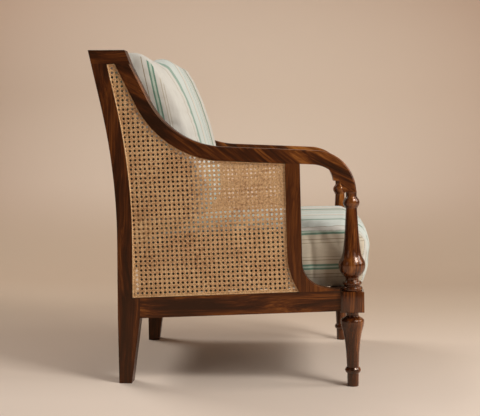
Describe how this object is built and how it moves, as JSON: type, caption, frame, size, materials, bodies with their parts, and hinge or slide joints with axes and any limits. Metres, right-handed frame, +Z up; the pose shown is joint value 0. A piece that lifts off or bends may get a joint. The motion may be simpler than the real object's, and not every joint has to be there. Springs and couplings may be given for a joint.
{
  "type": "planters chair",
  "caption": "Deep wooden armchair with swept arms, turned front posts, caned sides and loose striped seat and back cushions.",
  "frame": {"origin": "on the floor, at the middle of the bounding box", "axes": "+X towards the front of the chair, +Y towards the left hand of a person sitting in it, +Z up"},
  "size_m": [0.7741, 0.7376, 0.92],
  "materials": {
    "wood": "polished dark rosewood-like hardwood with a figured grain",
    "deck_wood": "plain sanded secondary wood",
    "cane": "woven natural cane, lightly varnished",
    "reed": "flat reed strip, lightly varnished",
    "seat_fabric": "cream woven cotton with green stripes, piped box edges",
    "back_fabric": "cream woven cotton with green stripes"
  },
  "bodies": {
    "frame": {"right_rear_leg": "wood", "right_top_cap": "wood", "right_arm_rear": "wood", "right_arm_front": "wood", "right_arm_support": "wood", "right_side_rail": "wood", "right_front_post": "wood", "right_cane_panel": "cane", "right_cane_bead": "reed", "right_seat_cleat": "deck_wood", "right_rear_corner_block": "deck_wood", "right_front_corner_block": "deck_wood", "left_rear_leg": "wood", "left_top_cap": "wood", "left_arm_rear": "wood", "left_arm_front": "wood", "left_arm_support": "wood", "left_side_rail": "wood", "left_front_post": "wood", "left_cane_panel": "cane", "left_cane_bead": "reed", "left_seat_cleat": "deck_wood", "left_rear_corner_block": "deck_wood", "left_front_corner_block": "deck_wood", "front_rail": "wood", "rear_rail": "wood", "crest_rail": "wood", "lower_back_rail": "wood", "back_cane_panel": "cane", "back_cane_bead": "reed", "seat_slat_1": "deck_wood", "seat_slat_2": "deck_wood", "seat_slat_3": "deck_wood", "seat_slat_4": "deck_wood", "seat_slat_5": "deck_wood", "seat_slat_6": "deck_wood", "seat_slat_7": "deck_wood", "scarf_tongues": "deck_wood", "cap_tongues": "deck_wood"},
    "seat_cushion": {"seat_cushion": "seat_fabric"},
    "back_cushion": {"back_cushion": "back_fabric"}
  },
  "joints": [
    {"name": "seat_cushion_slide", "type": "slide", "parent": "frame", "child": "seat_cushion", "axis": [0.9988, 0, 0.0489], "range_m": [0, 0.7]},
    {"name": "back_cushion_lift", "type": "slide", "parent": "frame", "child": "back_cushion", "axis": [0, 0, 1], "range_m": [0, 0.52]}
  ]
}
